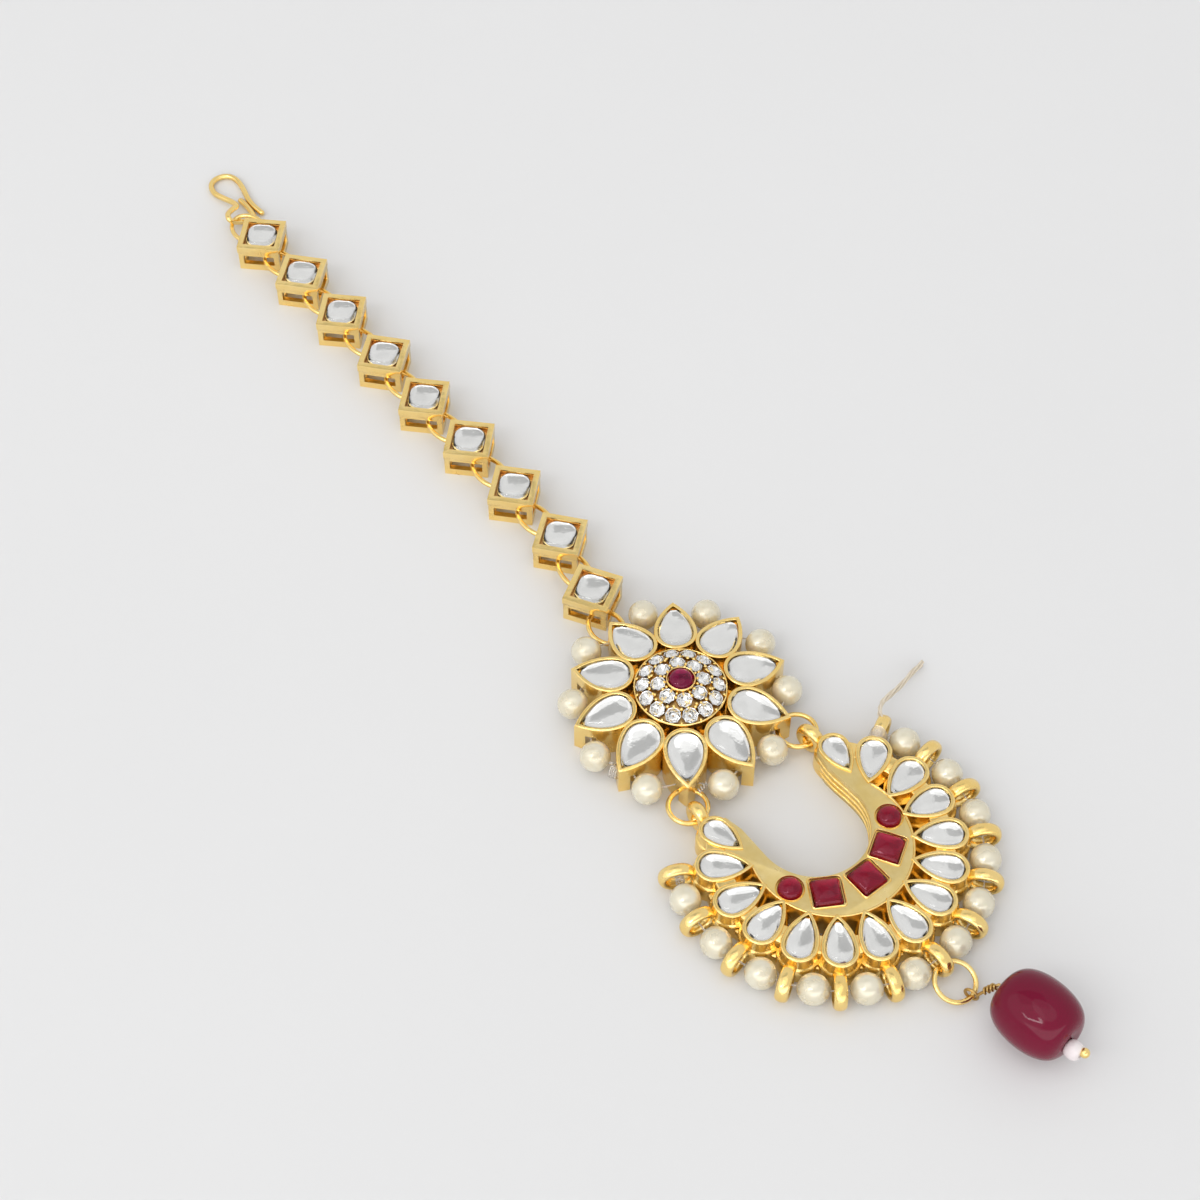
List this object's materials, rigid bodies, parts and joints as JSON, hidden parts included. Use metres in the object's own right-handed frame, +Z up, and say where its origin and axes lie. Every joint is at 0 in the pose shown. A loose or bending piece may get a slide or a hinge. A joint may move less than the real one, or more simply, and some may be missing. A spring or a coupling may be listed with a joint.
{
  "type": "maang tikka",
  "caption": "Gold-tone hair jewel laid flat: wire hook, chain of stone-set box links, stone flower with pearls, crescent with a pearl fringe and a wine-red bead drop.",
  "frame": {"origin": "on the surface that the jewel lies on, under the middle of its box seen from above", "axes": "+Y along the chain towards the hook, +Z up through the faces of the stones, +X to the right seen from the drop"},
  "size_m": [0.0368, 0.1634, 0.008],
  "materials": {
    "gold_metal": "polished warm gold plate",
    "clear_stone": "foil-backed clear glass cabochon",
    "ruby_stone": "foil-backed magenta-red glass cabochon",
    "pearl": "cream imitation pearl",
    "wine_bead": "glossy wine-red glass",
    "bronze_wire": "thin dull gold wire"
  },
  "bodies": {
    "root": {"hook": "gold_metal", "hook_ring": "gold_metal", "link_1": "gold_metal", "link_2": "gold_metal", "link_3": "gold_metal", "link_4": "gold_metal", "link_5": "gold_metal", "link_6": "gold_metal", "link_7": "gold_metal", "link_8": "gold_metal", "link_9": "gold_metal", "link_stone_1": "clear_stone", "link_stone_2": "clear_stone", "link_stone_3": "clear_stone", "link_stone_4": "clear_stone", "link_stone_5": "clear_stone", "link_stone_6": "clear_stone", "link_stone_7": "clear_stone", "link_stone_8": "clear_stone", "link_stone_9": "clear_stone", "link_ring_1": "gold_metal", "link_ring_2": "gold_metal", "link_ring_3": "gold_metal", "link_ring_4": "gold_metal", "link_ring_5": "gold_metal", "link_ring_6": "gold_metal", "link_ring_7": "gold_metal", "link_ring_8": "gold_metal", "flower_ring": "gold_metal", "flower_setting": "gold_metal", "petal_stone_1": "clear_stone", "petal_stone_2": "clear_stone", "petal_stone_3": "clear_stone", "petal_stone_4": "clear_stone", "petal_stone_5": "clear_stone", "petal_stone_6": "clear_stone", "petal_stone_7": "clear_stone", "petal_stone_8": "clear_stone", "petal_stone_9": "clear_stone", "petal_stone_10": "clear_stone", "flower_ruby": "ruby_stone", "flower_pearls": "pearl", "crescent_ring_left": "gold_metal", "crescent_ring_right": "gold_metal", "crescent_setting": "gold_metal", "crescent_ruby_1": "ruby_stone", "crescent_ruby_2": "ruby_stone", "crescent_ruby_3": "ruby_stone", "crescent_ruby_4": "ruby_stone", "crescent_ruby_5": "ruby_stone", "crescent_pearls": "pearl", "drop_ring": "gold_metal", "head_pin": "bronze_wire", "drop_bead": "wine_bead", "seed_pearl": "pearl"}
  },
  "joints": []
}
